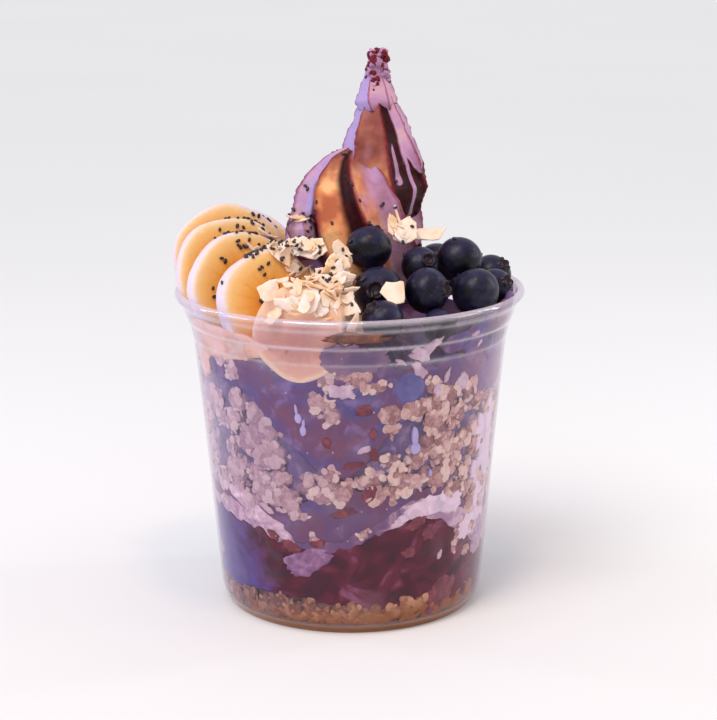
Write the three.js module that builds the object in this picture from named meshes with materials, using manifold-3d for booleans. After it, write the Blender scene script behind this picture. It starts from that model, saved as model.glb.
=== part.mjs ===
// An acai bowl in a clear cup: layers of granola, berry puree, milk and acai, with an acai
// swirl, banana slices, blueberries and coconut chips on top.
// Millimetres, +Z up, origin at the centre of the foot ring, front towards -Y.
import * as THREE from 'three';
import { mergeVertices } from 'three/addons/utils/BufferGeometryUtils.js';
import Module from 'manifold-3d';

const wasm = await Module();
wasm.setup();

// ---- Driving dimensions ----------------------------------------------------------------
const GAP = 0.3; // clearance between pieces that touch

const CUP_HEIGHT = 106.6;
const LIP_RADIUS = 57.9; // outside of the rolled lip
const COLLAR_RADIUS = 53.7; // ridge under the flare
const COLLAR_Z = 96.7;
const STEP_RADIUS = 52.2; // ledge where the straight wall ends
const STEP_Z = 91.2;
const CORNER_RADIUS = 44.3; // top of the rounded bottom corner
const CORNER_Z = 7;
const FOOT_RADIUS = 41.2;
const FOOT_WIDTH = 2.6;
const FLOOR_Z = 1.4; // underside of the floor, above the table
const WALL = 0.9;
const CUP_SIDES = 40;

const LAYER_SIDES = 28;
const LAYER_RINGS = [0.42, 0.76, 1]; // share of the layer's radius
const MOUND_Z = 101; // top of the filling under the toppings
const MOUND_RADIUS = 25;

const BANANA_THICKNESS = 7;
const BERRY_SIDES = 9;
const BANANA_SIDES = 18;
const CHIP_THICKNESS = 1.1;

const ROOM_ABOVE_RADIUS = 63; // nothing above the lip reaches further out

// ---- Finishes --------------------------------------------------------------------------
const finish = (color, roughness, metalness = 0) => ({ color, roughness, metalness });
const CLEAR_PLASTIC = { ...finish(0xdfe6f2, 0.08), transparent: true, opacity: 0.3 };
const GRANOLA = finish(0xc59a73, 0.85);
const BERRY_PUREE = finish(0x6d2748, 0.45);
const MILK = finish(0xe3c3dc, 0.5);
const ACAI = finish(0x64518c, 0.5);
const SWIRL = finish(0x55243f, 0.4);
const BANANA = finish(0xf3d492, 0.55);
const BLUEBERRY = finish(0x2f3358, 0.5);
const COCONUT = finish(0xf6dfc4, 0.7);

// ---- Solids ----------------------------------------------------------------------------
const group = new THREE.Group();

/** A closed geometry as a solid that can be cut, moved by an optional matrix. */
function toSolid(geometry, matrix = new THREE.Matrix4()) {
  const bare = geometry.clone().applyMatrix4(matrix);
  bare.deleteAttribute('normal');
  bare.deleteAttribute('uv');
  const merged = mergeVertices(bare, 1e-4);
  return new wasm.Manifold(new wasm.Mesh({
    numProp: 3,
    vertProperties: new Float32Array(merged.attributes.position.array),
    triVerts: new Uint32Array(merged.index.array),
  }));
}

/** The largest body of a cut solid, as a geometry. */
function toGeometry(solid) {
  const bodies = solid.decompose().sort((a, b) => b.volume() - a.volume());
  const mesh = bodies[0].getMesh();
  const geometry = new THREE.BufferGeometry();
  geometry.setAttribute('position', new THREE.BufferAttribute(mesh.vertProperties, 3));
  geometry.setIndex(new THREE.BufferAttribute(mesh.triVerts, 1));
  geometry.computeVertexNormals();
  return geometry;
}

function closedGeometry(points, triangles) {
  const geometry = new THREE.BufferGeometry();
  geometry.setAttribute('position', new THREE.Float32BufferAttribute(points.flat(), 3));
  geometry.setIndex(triangles.flat());
  geometry.computeVertexNormals();
  return geometry;
}

/** A name, a geometry and a finish become one named mesh of the object. */
function addNode(name, geometry, look) {
  const mesh = new THREE.Mesh(geometry, new THREE.MeshStandardMaterial(look));
  mesh.name = name;
  group.add(mesh);
}

/** Turns a (radius, z) outline about the Z axis. */
function lathe(outline, sides) {
  const geometry = new THREE.LatheGeometry(outline.map(([r, z]) => new THREE.Vector2(r, z)), sides);
  return geometry.rotateX(Math.PI / 2);
}

const radians = THREE.MathUtils.degToRad;
const lerp = THREE.MathUtils.lerp;

/** A point at a bearing from the front (degrees, positive to the right) and a radius. */
function atBearing(bearing, radius, z) {
  return [radius * Math.sin(radians(bearing)), -radius * Math.cos(radians(bearing)), z];
}

/** Height along a line of [place, height] stations, eased between them. */
function between(stations, place) {
  const next = stations.findIndex(([at]) => at >= place);
  if (next <= 0) return stations[next === 0 ? 0 : stations.length - 1][1];
  const [[from, low], [to, high]] = [stations[next - 1], stations[next]];
  const share = (place - from) / (to - from);
  return lerp(low, high, share * share * (3 - 2 * share));
}

// ---- Cup -------------------------------------------------------------------------------
const OUTSIDE = [
  [FOOT_RADIUS, 0], [FOOT_RADIUS + 1.7, 2.6], [CORNER_RADIUS - 0.5, 4.6],
  [CORNER_RADIUS, CORNER_Z], [STEP_RADIUS - 0.4, STEP_Z - 1], [STEP_RADIUS, STEP_Z],
  [COLLAR_RADIUS - 0.6, COLLAR_Z - 0.7], [COLLAR_RADIUS, COLLAR_Z],
  [COLLAR_RADIUS + 0.8, COLLAR_Z + 2.3], [LIP_RADIUS - 2.5, CUP_HEIGHT - 5],
  [LIP_RADIUS - 0.7, CUP_HEIGHT - 2.9], [LIP_RADIUS, CUP_HEIGHT - 2], [LIP_RADIUS, CUP_HEIGHT - 1],
  [LIP_RADIUS - 0.6, CUP_HEIGHT - 0.2], [LIP_RADIUS - 1.5, CUP_HEIGHT],
];
const INSIDE = [
  [FOOT_RADIUS - 0.8, FLOOR_Z + WALL], [FOOT_RADIUS + 1, FLOOR_Z + WALL + 1],
  [CORNER_RADIUS - WALL - 0.4, 5.4], [CORNER_RADIUS - WALL, CORNER_Z + 0.6],
  [STEP_RADIUS - WALL - 0.4, STEP_Z - 0.8], [STEP_RADIUS - WALL, STEP_Z + 0.2],
  [COLLAR_RADIUS - WALL - 0.5, COLLAR_Z - 0.5], [COLLAR_RADIUS - WALL, COLLAR_Z + 0.4],
  [COLLAR_RADIUS - WALL + 0.9, COLLAR_Z + 2.7], [LIP_RADIUS - 3.4, CUP_HEIGHT - 4.2],
  [LIP_RADIUS - 2.7, CUP_HEIGHT - 1.6], [LIP_RADIUS - 2.4, CUP_HEIGHT - 0.5],
];

function cup() {
  const underside = [[0, FLOOR_Z], [FOOT_RADIUS - FOOT_WIDTH, FLOOR_Z],
    [FOOT_RADIUS - FOOT_WIDTH + 0.3, 0]];
  return lathe([...underside, ...OUTSIDE, ...[...INSIDE].reverse(), [0, FLOOR_Z + WALL]], CUP_SIDES);
}

/** Inner radius of the cup at a height, less the clearance. */
function fillRadius(z) {
  const next = Math.max(1, INSIDE.findIndex(([, height]) => height >= z));
  const [[r0, z0], [r1, z1]] = [INSIDE[next - 1], INSIDE[next]];
  return lerp(r0, r1, THREE.MathUtils.clamp((z - z0) / (z1 - z0), 0, 1)) - GAP - 0.15;
}

/** The room inside the cup and, above the lip, over and past it. */
function room() {
  const inner = INSIDE.map(([, z]) => [fillRadius(z), z]);
  const top = CUP_HEIGHT + 1;
  return lathe([[0, FLOOR_Z + WALL + GAP], [fillRadius(0) - 0.3, FLOOR_Z + WALL + GAP],
    ...inner.slice(1), [LIP_RADIUS - 3, CUP_HEIGHT], [ROOM_ABOVE_RADIUS, top],
    [ROOM_ABOVE_RADIUS, top + 90], [0, top + 90]], CUP_SIDES);
}

// ---- Filling ---------------------------------------------------------------------------
// Heights of each layer's top at the wall, as [bearing, height] from the back round the
// left, the front and the right to the back again.
const FLOOR_TOP = [[-180, FLOOR_Z + WALL + GAP], [180, FLOOR_Z + WALL + GAP]];
const GRANOLA_BASE_TOP = [[-180, 10], [-120, 12], [-66, 10], [-33, 12.5], [0, 10], [18, 8],
  [28, 10], [42, 5.6], [80, 5.6], [120, 9], [180, 10]];
const PUREE_TOP = [[-180, 32], [-110, 36], [-52, 35.5], [-20, 28], [5, 31], [22, 40], [38, 37],
  [62, 24], [90, 20], [130, 28], [180, 32]];
const MILK_TOP = [[-180, 34.5], [-110, 41], [-60, 41], [-40, 38], [-20, 30.5], [5, 33.5], [22, 46],
  [38, 43], [62, 34], [90, 32], [130, 34], [180, 34.5]];
const LOWER_ACAI_TOP = [[-180, 46], [-120, 44], [-60, 43], [-40, 41], [-24, 44], [0, 49], [12, 50],
  [30, 49], [62, 38], [90, 36], [130, 42], [180, 46]];
const GRANOLA_MIDDLE_TOP = [[-180, 52], [-130, 70], [-90, 83], [-60, 83], [-35, 78], [-18, 57],
  [0, 52], [8, 56], [20, 79], [42, 81], [60, 75], [90, 78], [130, 66], [180, 52]];
const FILL_TOP = [[-180, 88], [-140, 89], [-60, 89], [-30, 91], [20, 91.5], [60, 95], [100, 95.5],
  [145, 91], [180, 88]];

/** A layer's top or bottom: wall heights, levelled towards the middle, with small lumps. */
function surface(stations, lumps = 0, lift = 0) {
  const mean = stations.reduce((sum, [, height]) => sum + height, 0) / stations.length;
  return (bearing, share) => {
    const lump = lumps * Math.sin(radians(bearing) * 7 + share * 5) * Math.cos(share * 9);
    return lerp(mean, between(stations, bearing), share ** 2) + lump * (1 - share / 2) + lift;
  };
}

/** The top of the filling, which rises from the wall to a flat mound under the toppings. */
function moundSurface(bearing, share) {
  const wall = between(FILL_TOP, bearing);
  const flat = MOUND_RADIUS / fillRadius(wall);
  const rise = THREE.MathUtils.smoothstep(1 - share, 0, 1 - flat);
  return lerp(wall, MOUND_Z, rise);
}

/** A layer that runs right through the cup between two surfaces. */
function layer(lower, upper) {
  const points = [];
  const triangles = [];
  const ringPoints = (height) => {
    const first = points.length;
    points.push([0, 0, height(0, 0)]);
    LAYER_RINGS.forEach((share) => {
      for (let side = 0; side < LAYER_SIDES; side += 1) {
        const bearing = (360 * side) / LAYER_SIDES - 180;
        const z = height(bearing, share);
        points.push(atBearing(bearing, share * fillRadius(height(bearing, 1)), z));
      }
    });
    return first;
  };
  const corner = (first, ring, side) => first + 1 + ring * LAYER_SIDES + (side % LAYER_SIDES);
  const addSkin = (first, up) => {
    const face = (a, b, c) => triangles.push(up ? [a, b, c] : [a, c, b]);
    for (let side = 0; side < LAYER_SIDES; side += 1) {
      face(first, corner(first, 0, side), corner(first, 0, side + 1));
      for (let ring = 0; ring + 1 < LAYER_RINGS.length; ring += 1) {
        const [a, b] = [corner(first, ring, side), corner(first, ring, side + 1)];
        const [c, d] = [corner(first, ring + 1, side), corner(first, ring + 1, side + 1)];
        face(a, c, b);
        face(b, c, d);
      }
    }
  };
  const bottom = ringPoints(lower);
  const top = ringPoints(upper);
  addSkin(bottom, false);
  addSkin(top, true);
  const rim = LAYER_RINGS.length - 1;
  for (let side = 0; side < LAYER_SIDES; side += 1) {
    const [a, b] = [corner(bottom, rim, side), corner(bottom, rim, side + 1)];
    const [c, d] = [corner(top, rim, side), corner(top, rim, side + 1)];
    triangles.push([a, b, c], [b, d, c]);
  }
  return closedGeometry(points, triangles);
}

// ---- Swirl -----------------------------------------------------------------------------
// One drop of soft acai: [share of height, radius] stations from foot to tip, with twisted
// pleats, along a line from its foot to its tip.
const SWIRL_FOOT = {
  foot: [2, 5, MOUND_Z + GAP], tip: [4, 4, 153], pleats: 9, depth: 0.13, twist: 0.9, rings: 8,
  stations: [[0, 21], [0.25, 21], [0.55, 20], [0.72, 18.5], [0.85, 13], [0.93, 8], [1, 0]],
};
const SWIRL_DROP = {
  foot: [11.5, 5, 127.5], tip: [9.8, 5, 183.6], pleats: 6, depth: 0.1, twist: 0.8, rings: 11,
  stations: [[0, 8], [0.06, 12], [0.22, 14.9], [0.4, 12.6], [0.56, 9.6], [0.72, 6.6],
    [0.82, 4.6], [0.93, 3.4], [1, 0]],
};
const SWIRL_CURL = {
  foot: [-13.4, -6, 119], tip: [-15.4, -9.5, 132], pleats: 6, depth: 0.14, twist: 0.6, rings: 5,
  stations: [[0, 4.4], [0.35, 6.2], [0.7, 5.2], [0.9, 3], [1, 0]],
};
const SIDES_PER_PLEAT = 3;

function drop({ foot, tip, stations, pleats, depth, twist, rings }) {
  const sides = pleats * SIDES_PER_PLEAT;
  const points = [[...foot]];
  const triangles = [];
  for (let ring = 0; ring < rings; ring += 1) {
    const share = 0.985 * (ring / (rings - 1)) ** 0.9;
    const centre = foot.map((value, axis) => lerp(value, tip[axis], share));
    const radius = between(stations, share);
    for (let side = 0; side < sides; side += 1) {
      const turn = (2 * Math.PI * side) / sides;
      const ridge = 1 + depth * (side % SIDES_PER_PLEAT === 0 ? 1 : -0.35);
      const angle = turn + twist * share;
      points.push([centre[0] + radius * ridge * Math.cos(angle),
        centre[1] + radius * ridge * Math.sin(angle), centre[2]]);
    }
  }
  points.push([...tip]);
  const corner = (ring, side) => 1 + ring * sides + (side % sides);
  for (let side = 0; side < sides; side += 1) {
    triangles.push([0, corner(0, side + 1), corner(0, side)]);
    for (let ring = 0; ring + 1 < rings; ring += 1) {
      const [a, b] = [corner(ring, side), corner(ring, side + 1)];
      const [c, d] = [corner(ring + 1, side), corner(ring + 1, side + 1)];
      triangles.push([a, b, c], [b, d, c]);
    }
    triangles.push([corner(rings - 1, side), corner(rings - 1, side + 1), points.length - 1]);
  }
  return toSolid(closedGeometry(points, triangles));
}

// ---- Toppings --------------------------------------------------------------------------
/** Where a flat topping lies: its middle, the way its face looks and how far it leans back. */
function lay([x, y, z], turn, lean, spin = 0) {
  const matrix = new THREE.Matrix4().makeRotationZ(radians(turn));
  matrix.multiply(new THREE.Matrix4().makeRotationX(radians(90 - lean)));
  matrix.multiply(new THREE.Matrix4().makeRotationZ(radians(spin)));
  return matrix.setPosition(x, y, z);
}

/** A banana slice, its face towards +Z: a disc with a soft edge and slightly sunk faces. */
function bananaSlice(radius, grow = 0) {
  const half = BANANA_THICKNESS / 2 + grow;
  const edge = radius + grow;
  return lathe([[0, -half + 0.5], [edge * 0.55, -half], [edge - 1.2, -half + 0.3], [edge, -half / 3],
    [edge, half / 3], [edge - 1.2, half - 0.3], [edge * 0.55, half], [0, half - 0.5]], BANANA_SIDES);
}

/** A blueberry with its crown towards +Z: a squat ball with a small crater. */
function blueberry(radius, grow = 0) {
  const ball = radius + grow;
  const outline = [[0, -0.92 * ball]];
  for (let step = 1; step < 6; step += 1) {
    const angle = (Math.PI * step) / 6.6 - Math.PI / 2;
    outline.push([ball * Math.cos(angle), 0.92 * ball * Math.sin(angle)]);
  }
  outline.push([0.4 * ball, 0.9 * ball], [0.26 * ball, 0.76 * ball], [0, 0.74 * ball]);
  return lathe(outline, BERRY_SIDES);
}

/** A broken chip of coconut, length by width, cupped across its length. */
function coconutChip(length, width, cup, grow = 0) {
  const corners = [[-0.5, -0.12], [-0.34, -0.46], [0.06, -0.5], [0.42, -0.36], [0.5, 0.1],
    [0.2, 0.5], [-0.18, 0.42], [-0.42, 0.3]];
  const outline = new THREE.Shape(corners.map(([u, v]) => new THREE.Vector2(
    u * (length + 2 * grow), v * (width + 2 * grow))));
  const depth = CHIP_THICKNESS + 2 * grow;
  const geometry = new THREE.ExtrudeGeometry(outline, { depth, bevelEnabled: false });
  const place = geometry.attributes.position;
  for (let index = 0; index < place.count; index += 1) {
    const share = place.getX(index) / (length / 2);
    place.setZ(index, place.getZ(index) - depth / 2 + cup * share * share);
  }
  return geometry;
}

// Banana slices: middle, radius, turn to the right and lean back.
const BANANAS = [
  { at: [-40.4, 9, 113.8], radius: 19, turn: 8, lean: 10 },
  { at: [-39, -2.6, 111.4], radius: 18.8, turn: 17, lean: 12 },
  { at: [-34.6, -14.6, 108.6], radius: 18.8, turn: 27, lean: 14 },
  { at: [-25.6, -27.4, 105.6], radius: 18.3, turn: 32, lean: 16 },
  { at: [-15, -44.4, 100.2], radius: 15.6, turn: -18, lean: 8 },
  { at: [-36, 21.6, 110.4], radius: 18.2, turn: -2, lean: 6 },
];

// Blueberries: middle, radius, and the tilt and bearing of the crown.
const BERRIES = [
  { at: [6.3, -21.4, 122.6], radius: 7.6, tilt: 35, bearing: 150 },
  { at: [22.6, -19.2, 116.6], radius: 6.5, tilt: 60, bearing: 30 },
  { at: [35.6, -11.5, 117], radius: 7.7, tilt: 100, bearing: 200 },
  { at: [9.2, -33.4, 111.4], radius: 8, tilt: 75, bearing: -10 },
  { at: [24.2, -33, 111.4], radius: 7.6, tilt: 80, bearing: 62 },
  { at: [40.2, -26, 109.2], radius: 8.2, tilt: 70, bearing: -120 },
  { at: [47.6, 4.4, 109.2], radius: 6.8, tilt: 50, bearing: 55 },
  { at: [47.6, -10, 107.4], radius: 6.6, tilt: 62, bearing: 50 },
  { at: [10.2, -45.6, 104.2], radius: 6.9, tilt: 40, bearing: -60 },
  { at: [28, -41.6, 101.4], radius: 6, tilt: 70, bearing: 80 },
  { at: [29.2, 4.6, 112.6], radius: 7.5, tilt: 60, bearing: 170 },
  { at: [39.6, 17.4, 108], radius: 7.6, tilt: 30, bearing: 120 },
  { at: [25.6, 20.4, 108.4], radius: 7.2, tilt: 75, bearing: 200 },
  { at: [33.6, 31.4, 103.2], radius: 7.4, tilt: 50, bearing: 150 },
  { at: [45.4, -27.4, 96.6], radius: 5.6, tilt: 60, bearing: 90 },
];
const SUNK_BERRY = { bearing: 21.5, z: 83.2, radius: 6.4, depth: 4.6 };

// Coconut chips as large as a berry: middle, length, width, turn, lean and spin, and cup.
const CHIPS = [
  { at: [17.4, -16.6, 127.4], size: [11.5, 8], turn: 6, lean: 38, spin: 24, cup: 1.2 },
  { at: [24.6, -10.8, 124.8], size: [12, 7], turn: 12, lean: 62, spin: 8, cup: 2.4 },
  { at: [-2.6, -27.4, 119.6], size: [13, 8.5], turn: 24, lean: 28, spin: 52, cup: 2 },
  { at: [-12, -22, 123], size: [12.5, 9], turn: -8, lean: 42, spin: -12, cup: 1 },
  { at: [-13.8, -49.8, 111.6], size: [11, 8], turn: 4, lean: 36, spin: 6, cup: 1 },
  { at: [-1.4, -43.4, 108.8], size: [12.5, 9.5], turn: -12, lean: 46, spin: -20, cup: 1.4 },
  { at: [-25.4, -43.6, 113.4], size: [9, 7], turn: 26, lean: 30, spin: 40, cup: 0.8 },
  { at: [12.8, -43, 111.8], size: [9.5, 8.5], turn: 10, lean: 40, spin: 30, cup: 1.2 },
  { at: [-6.4, -35.4, 115.4], size: [13.5, 8], turn: 10, lean: 60, spin: 4, cup: 2 },
  { at: [-18.6, -15.4, 122.4], size: [10, 7], turn: -14, lean: 50, spin: 30, cup: 1.4 },
  { at: [-20.6, 37, 96.4], size: [13, 8], turn: 30, lean: 82, spin: 20, cup: 1.2 },
  { at: [20.6, 38.6, 96.4], size: [12, 8.5], turn: -40, lean: 80, spin: 60, cup: 1.2 },
];

function crownMatrix({ at, tilt, bearing }) {
  const matrix = new THREE.Matrix4().makeRotationZ(radians(bearing));
  matrix.multiply(new THREE.Matrix4().makeRotationX(radians(tilt)));
  return matrix.setPosition(...at);
}

/** The solids that later pieces are cut round, each grown by the clearance. */
const neighbours = [];
function clearOf(solid) {
  return neighbours.reduce((left, neighbour) => left.subtract(neighbour), solid);
}

function buildObject() {
  const inside = toSolid(room());
  addNode('cup', cup(), CLEAR_PLASTIC);

  BANANAS.forEach(({ at, radius, turn, lean }, index) => {
    const matrix = lay(at, turn, lean);
    const slice = clearOf(toSolid(bananaSlice(radius), matrix).intersect(inside));
    addNode(`banana_${index + 1}`, toGeometry(slice), BANANA);
    neighbours.push(toSolid(bananaSlice(radius, GAP), matrix));
  });

  BERRIES.forEach((berry, index) => {
    const matrix = crownMatrix(berry);
    const solid = clearOf(toSolid(blueberry(berry.radius), matrix).intersect(inside));
    addNode(`blueberry_${index + 1}`, toGeometry(solid), BLUEBERRY);
    neighbours.push(toSolid(blueberry(berry.radius, GAP), matrix));
  });

  const sunkRadius = fillRadius(SUNK_BERRY.z) - SUNK_BERRY.depth;
  const sunkMatrix = crownMatrix({
    at: atBearing(SUNK_BERRY.bearing, sunkRadius, SUNK_BERRY.z), tilt: -60, bearing: 0,
  });
  const sunk = toSolid(blueberry(SUNK_BERRY.radius), sunkMatrix).intersect(inside);
  addNode(`blueberry_${BERRIES.length + 1}`, toGeometry(sunk), BLUEBERRY);
  neighbours.push(toSolid(blueberry(SUNK_BERRY.radius, GAP), sunkMatrix));

  const whole = drop(SWIRL_FOOT).add(drop(SWIRL_DROP)).add(drop(SWIRL_CURL));
  addNode('acai_swirl', toGeometry(clearOf(whole)), SWIRL);
  neighbours.push(whole);

  CHIPS.forEach(({ at, size: [length, width], turn, lean, spin, cup: bend }, index) => {
    const matrix = lay(at, turn, lean, spin);
    const chip = toSolid(coconutChip(length, width, bend), matrix).intersect(inside);
    addNode(`coconut_chip_${index + 1}`, toGeometry(clearOf(chip)), COCONUT);
    neighbours.push(toSolid(coconutChip(length, width, bend, GAP), matrix));
  });

  const lumps = 0.8;
  addNode('granola_base', layer(surface(FLOOR_TOP), surface(GRANOLA_BASE_TOP, lumps)), GRANOLA);
  addNode('berry_puree', layer(surface(GRANOLA_BASE_TOP, lumps, GAP), surface(PUREE_TOP)),
    BERRY_PUREE);
  addNode('milk_layer', layer(surface(PUREE_TOP, 0, GAP), surface(MILK_TOP)), MILK);
  addNode('acai_lower', layer(surface(MILK_TOP, 0, GAP), surface(LOWER_ACAI_TOP)), ACAI);
  addNode('granola_middle', layer(surface(LOWER_ACAI_TOP, 0, GAP),
    surface(GRANOLA_MIDDLE_TOP)), GRANOLA);
  const upper = layer(surface(GRANOLA_MIDDLE_TOP, 0, GAP), moundSurface);
  addNode('acai_upper', toGeometry(clearOf(toSolid(upper).intersect(inside))), ACAI);
}

buildObject();

export default group;
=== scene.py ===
import math

import bpy
import numpy as np
from mathutils import Matrix, Vector, noise
from mathutils.bvhtree import BVHTree


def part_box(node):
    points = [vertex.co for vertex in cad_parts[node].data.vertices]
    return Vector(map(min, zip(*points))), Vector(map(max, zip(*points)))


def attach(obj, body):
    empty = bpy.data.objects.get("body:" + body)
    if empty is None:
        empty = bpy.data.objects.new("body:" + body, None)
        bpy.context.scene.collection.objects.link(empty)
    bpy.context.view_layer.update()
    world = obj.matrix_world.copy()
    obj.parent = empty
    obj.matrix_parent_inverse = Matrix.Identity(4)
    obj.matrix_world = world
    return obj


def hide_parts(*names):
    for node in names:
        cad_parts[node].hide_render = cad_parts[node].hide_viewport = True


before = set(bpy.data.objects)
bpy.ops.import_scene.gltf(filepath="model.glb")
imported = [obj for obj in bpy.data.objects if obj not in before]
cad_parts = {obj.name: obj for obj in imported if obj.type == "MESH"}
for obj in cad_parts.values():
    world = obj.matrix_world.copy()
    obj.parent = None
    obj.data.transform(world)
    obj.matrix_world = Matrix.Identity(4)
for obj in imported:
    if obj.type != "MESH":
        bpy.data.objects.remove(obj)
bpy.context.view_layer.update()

MM = 0.001  # every size below is in millimetres, +Z up, front towards -Y


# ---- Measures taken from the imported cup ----
def node_points(node):
    """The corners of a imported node, in millimetres."""
    return np.array([corner.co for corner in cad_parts[node].data.vertices]) / MM


def node_box(node):
    low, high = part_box(node)
    return np.array(low) / MM, np.array(high) / MM


_, CUP_HIGH = node_box("cup")
LIP = CUP_HIGH[1]      # radius of the rolled lip
HEIGHT = CUP_HIGH[2]   # of the cup, up to the lip
WALL = 0.9             # thickness of the cup
FOOT = LIP - 16.7      # radius of the foot ring
CORNER = LIP - 13.6    # radius where the wall starts to climb
STEP, STEP_Z = LIP - 5.7, HEIGHT - 15.4
COLLAR, COLLAR_Z = LIP - 4.2, HEIGHT - 9.9
FLOOR_Z = 1.4          # underside of the floor

OUTER_WALL = [
    (FOOT, 0), (FOOT + 1.7, 2.6), (CORNER - 0.5, 4.6), (CORNER, 7), (CORNER + 3.6, STEP_Z / 2 + 4),
    (STEP - 0.4, STEP_Z - 1), (STEP, STEP_Z), (COLLAR - 0.6, COLLAR_Z - 0.7), (COLLAR, COLLAR_Z),
    (COLLAR + 0.8, COLLAR_Z + 2.3), (LIP - 2.5, HEIGHT - 5), (LIP - 0.7, HEIGHT - 2.9),
    (LIP, HEIGHT - 2), (LIP, HEIGHT - 1), (LIP - 0.6, HEIGHT - 0.2), (LIP - 1.5, HEIGHT),
]
INNER_WALL = [
    (FOOT - 0.8, FLOOR_Z + WALL), (FOOT + 1, FLOOR_Z + WALL + 1), (CORNER - WALL - 0.4, 5.4),
    (CORNER - WALL, 7.6), (CORNER + 3.6 - WALL, STEP_Z / 2 + 4), (STEP - WALL - 0.4, STEP_Z - 0.8),
    (STEP - WALL, STEP_Z + 0.2), (COLLAR - WALL - 0.5, COLLAR_Z - 0.5),
    (COLLAR - WALL, COLLAR_Z + 0.4), (COLLAR - WALL + 0.9, COLLAR_Z + 2.7),
    (LIP - 3.4, HEIGHT - 4.2), (LIP - 2.7, HEIGHT - 1.6), (LIP - 2.4, HEIGHT - 0.5),
]


def inner_radius(height):
    """Radius of the cup's inner face at a height."""
    radii, heights = zip(*INNER_WALL)
    return np.interp(height, heights, radii)


def on_wall(bearing, height, reach=0.0):
    """Points on the inner face; bearing in degrees from the front, positive to the right."""
    turn = np.radians(bearing)
    radius = inner_radius(height) + reach
    return np.stack([radius * np.sin(turn), -radius * np.cos(turn), height + 0 * turn], -1)


def outwards(bearing):
    """Level directions away from the cup's axis."""
    turn = np.radians(bearing)
    return np.stack([np.sin(turn), -np.cos(turn), 0 * turn], -1)


# ---- Meshes ----
def bumps(points, size, seed=0):
    """Smooth noise between -1 and 1 at each point, with bumps about a size across."""
    shift = Vector((seed * 17.3, seed * 5.1, seed * 9.7))
    return np.array([noise.noise(Vector(point) / size + shift) for point in points.reshape(-1, 3)]
                    ).reshape(points.shape[:-1])


GROUND = []  # points and faces of the pieces that small toppings come to rest on


def add_piece(name, points, faces, finish, slot, replaced=(), marks=None, smooth=True, rest=False):
    """A mesh piece, from points in millimetres, that rides with the cup. Marks are values for
    each point that its finish reads."""
    if rest:
        GROUND.append((np.asarray(points), faces))
    mesh = bpy.data.meshes.new(name)
    mesh.from_pydata((np.asarray(points) * MM).tolist(), [], [list(face) for face in faces])
    mesh.polygons.foreach_set("use_smooth", [smooth] * len(mesh.polygons))
    for mark, values in (marks or {}).items():
        layer = mesh.attributes.new(mark, "FLOAT", "POINT")
        layer.data.foreach_set("value", np.asarray(values, np.float32).ravel())
    mesh.materials.append(finish)
    mesh.update()
    piece = bpy.data.objects.new(name, mesh)
    bpy.context.scene.collection.objects.link(piece)
    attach(piece, "root")
    if replaced:
        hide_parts(*replaced)


def wrap_faces(rows, sides):
    """Quads between rings of points, each ring closed on itself, facing outwards going up."""
    row, side = np.meshgrid(np.arange(rows - 1), np.arange(sides), indexing="ij")
    across = (side + 1) % sides
    quads = np.stack([row * sides + side, row * sides + across,
                      (row + 1) * sides + across, (row + 1) * sides + side], -1)
    return quads.reshape(-1, 4).tolist()


def closed_shell(rings):
    """Points and faces of a closed body from rings (rows, sides, 3), its end rings filled."""
    rows, sides, _ = rings.shape
    points = np.concatenate([rings.reshape(-1, 3), [rings[0].mean(0)], [rings[-1].mean(0)]])
    faces = wrap_faces(rows, sides)
    last = (rows - 1) * sides
    bottom, top = rows * sides, rows * sides + 1
    for side in range(sides):
        across = (side + 1) % sides
        faces.append([bottom, across, side])
        faces.append([top, last + side, last + across])
    return points, faces


def join(parts):
    """Several (points, faces, marks) as one; a mark is one value, or one for each point."""
    points, faces, marks, first = [], [], {}, 0
    for part_points, part_faces, part_marks in parts:
        points.append(part_points)
        faces.extend([[corner + first for corner in face] for face in part_faces])
        for mark, values in part_marks.items():
            marks.setdefault(mark, []).append(np.broadcast_to(values, len(part_points)))
        first += len(part_points)
    marks = {mark: np.concatenate(values) for mark, values in marks.items()}
    return np.concatenate(points), faces, marks


def add_joined(name, parts, finish, slot, replaced=(), **extra):
    """Many small (points, faces, marks) parts as one piece."""
    points, faces, marks = join(parts)
    add_piece(name, points, faces, finish, slot, replaced, marks, **extra)


def rounded(outline, rounds=2):
    """An open outline with its corners cut, so that it turns smoothly."""
    line = np.array(outline, float)
    for _ in range(rounds):
        near = line[:-1] * 0.75 + line[1:] * 0.25
        far = line[:-1] * 0.25 + line[1:] * 0.75
        line = np.concatenate([line[:1], np.stack([near, far], 1).reshape(-1, 2), line[-1:]])
    return line


def full_turn(sides):
    """Evenly spaced angles round a full turn."""
    return np.linspace(0, 2 * math.pi, sides, endpoint=False)


def turned(outline, sides):
    """Rings of points from a (radius, height) outline turned about the cup's axis."""
    turn = full_turn(sides)
    radius, height = np.asarray(outline, float).T
    return np.stack([radius[:, None] * np.cos(turn), radius[:, None] * np.sin(turn),
                     height[:, None] + 0 * turn], -1)


def spun(degrees, axis):
    return Matrix.Rotation(math.radians(degrees), 3, axis)


def facing(turn, lean, spin):
    """Rotation of a flat piece: turned to the right, leant back, then spun in its plane."""
    return spun(turn, "Z") @ spun(90 - lean, "X") @ spun(spin, "Z")


def placed(points, rotation, middle):
    """Points turned about their own origin, then moved to a middle."""
    return points @ np.array(rotation).T + np.asarray(middle)


def any_turn(random):
    """A random rotation."""
    axis = Vector(random.normal(size=3)).normalized()
    return Matrix.Rotation(random.uniform(0, 2 * math.pi), 3, axis)


# ---- Finishes ----
def tone(code):
    """A colour from its hex code, as the linear value that shaders use."""
    parts = [int(code[at:at + 2], 16) / 255 for at in (1, 3, 5)]
    return (*[part / 12.92 if part <= 0.04045 else ((part + 0.055) / 1.055) ** 2.4
              for part in parts], 1.0)


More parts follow.
